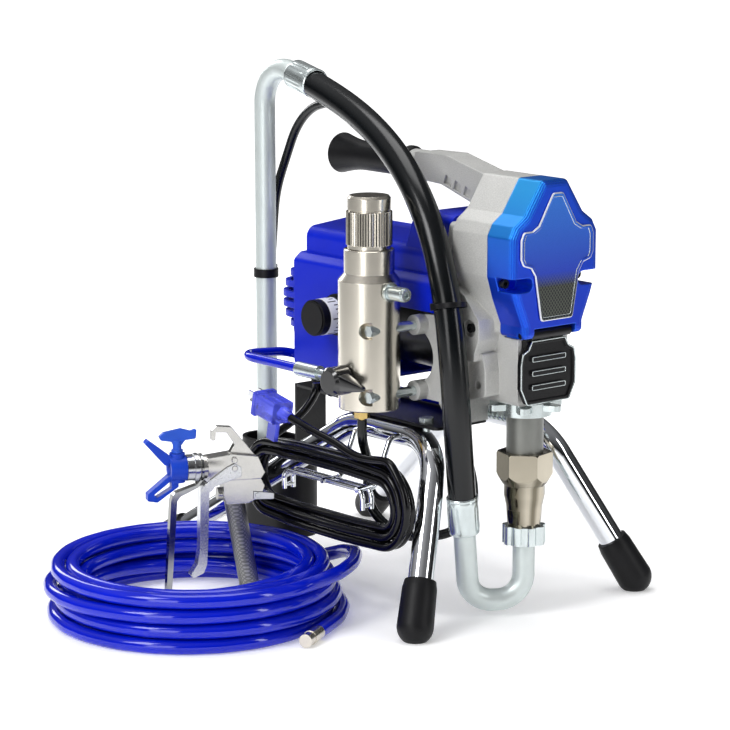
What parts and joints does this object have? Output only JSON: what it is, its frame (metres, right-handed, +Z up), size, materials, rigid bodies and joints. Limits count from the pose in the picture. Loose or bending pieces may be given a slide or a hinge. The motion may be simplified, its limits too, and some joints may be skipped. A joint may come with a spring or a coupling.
{
  "type": "airless paint sprayer",
  "caption": "Stand-mounted electric airless paint sprayer with pump, filter manifold, suction set, drip cup, power cord, coiled spray hose and spray gun.",
  "frame": {"origin": "on the floor, at the middle of the bounding box of everything but the power cord and the spray hose", "axes": "+X towards the pump end, +Y away from the filter manifold, +Z up"},
  "size_m": [0.4802, 0.5742, 0.5347],
  "materials": {
    "chrome": "polished",
    "aluminium": "satin",
    "zinc": "bright zinc plate",
    "nickel": "brushed nickel plate",
    "cast_grey": "fine cast grain, painted light grey",
    "blue_plastic": "moulded, satin gloss",
    "metallic_blue": "metallic lacquer",
    "black_plastic": "matte",
    "black_paint": "powder coat",
    "black_rubber": "smooth",
    "blue_hose": "glossy extruded jacket",
    "plug_blue": "translucent moulding",
    "steel": "machined",
    "gun_silver": "cast, satin",
    "brass": "turned"
  },
  "bodies": {
    "machine": {"left_frame_tube": "chrome", "right_frame_tube": "chrome", "frame_plate": "black_paint", "rubber_feet": "black_rubber", "zinc_bolts": "zinc", "cord_wrap": "chrome", "drip_cup": "black_plastic", "drive_housing": "cast_grey", "handle_arm": "cast_grey", "handle_grip": "black_rubber", "front_cover": "metallic_blue", "face_panel": "metallic_blue", "black_screws": "black_paint", "motor_shroud": "blue_plastic", "fan_grille": "blue_plastic", "motor_can": "black_paint", "bearings": "steel", "pump_cylinder": "cast_grey", "pump_packings": "black_rubber", "jam_nut": "zinc", "intake_housing": "nickel", "whip_fittings": "zinc", "suction_nut": "zinc", "lower_suction_tube": "aluminium", "suction_hose": "black_rubber", "hose_ferrules": "zinc", "drop_tube": "aluminium", "inlet_strainer": "black_plastic", "cable_ties": "black_plastic", "manifold_body": "nickel", "filter_cap": "nickel", "filter_element": "steel", "pressure_transducer": "zinc", "prime_valve": "nickel", "drain_fitting": "brass", "drain_tube": "black_rubber", "whip_hose": "blue_plastic", "cord_gland": "black_plastic", "cord_runs": "black_rubber", "cord_hank": "black_rubber", "power_plug": "plug_blue", "spray_hose": "blue_hose", "hose_couplings": "nickel", "gun_body": "gun_silver", "trigger_guard": "steel", "tip_guard": "blue_plastic", "retaining_nut": "nickel"},
    "pressure_knob": {"pressure_knob": "black_plastic"},
    "prime_handle": {"prime_handle": "black_plastic"},
    "power_switch": {"power_switch": "steel"},
    "pump_door": {"pump_door": "black_plastic"},
    "motor_rotor": {"motor_rotor": "steel", "cooling_fan": "black_plastic"},
    "crank": {"crank_gear": "steel"},
    "connecting_rod": {"connecting_rod": "steel"},
    "pump_rod": {"pump_rod": "steel"},
    "intake_ball": {"intake_ball": "chrome"},
    "trigger": {"trigger": "gun_silver"},
    "trigger_lock": {"trigger_lock": "steel"},
    "spray_tip": {"spray_tip": "blue_plastic"}
  },
  "joints": [
    {"name": "pressure_knob_turn", "type": "hinge", "parent": "machine", "child": "pressure_knob", "pos_m": [-0.01116, -0.01915, 0.284], "axis": [0, 1, 0], "range_deg": [0, 270]},
    {"name": "prime_handle_turn", "type": "hinge", "parent": "machine", "child": "prime_handle", "pos_m": [0.08984, -0.09715, 0.241], "axis": [0, 1, 0], "range_deg": [0, 90]},
    {"name": "power_switch_flip", "type": "hinge", "parent": "machine", "child": "power_switch", "pos_m": [0.01984, -0.01765, 0.262], "axis": [1, 0, 0], "range_deg": [0, 30]},
    {"name": "pump_door_swing", "type": "hinge", "parent": "machine", "child": "pump_door", "pos_m": [0.22784, 0.04585, 0.291], "axis": [0, -1, 0], "range_deg": [0, 90]},
    {"name": "motor_spin", "type": "hinge", "parent": "machine", "child": "motor_rotor", "pos_m": [0.19584, 0.04585, 0.288], "axis": [1, 0, 0], "continuous": true},
    {"name": "crank_spin", "type": "hinge", "parent": "machine", "child": "crank", "pos_m": [0.19584, 0.04585, 0.336], "axis": [1, 0, 0], "continuous": true},
    {"name": "connecting_rod_swing", "type": "hinge", "parent": "crank", "child": "connecting_rod", "pos_m": [0.19584, 0.04585, 0.348], "axis": [1, 0, 0], "continuous": true},
    {"name": "pump_stroke", "type": "slide", "parent": "machine", "child": "pump_rod", "axis": [0, 0, 1], "range_m": [-0.024, 0]},
    {"name": "intake_ball_lift", "type": "slide", "parent": "machine", "child": "intake_ball", "axis": [0, 0, 1], "range_m": [0, 0.003]},
    {"name": "trigger_pull", "type": "hinge", "parent": "machine", "child": "trigger", "pos_m": [-0.04858, -0.13164, 0.135], "axis": [0.9205, -0.3907, 0], "range_deg": [0, 15], "stiffness_Nm_per_rad": 0.4, "springref_deg": -20.05},
    {"name": "trigger_lock_turn", "type": "hinge", "parent": "machine", "child": "trigger_lock", "pos_m": [-0.03921, -0.10955, 0.1055], "axis": [-0.9205, 0.3907, 0], "range_deg": [0, 80]},
    {"name": "spray_tip_turn", "type": "hinge", "parent": "machine", "child": "spray_tip", "pos_m": [-0.07086, -0.18411, 0.1365], "axis": [0, 0, 1], "range_deg": [0, 180]}
  ],
  "couplings": [
    {"joint": "crank_spin", "follows": "motor_spin", "ratio": -0.2},
    {"joint": "connecting_rod_swing", "follows": "motor_spin", "ratio": 0.2}
  ]
}
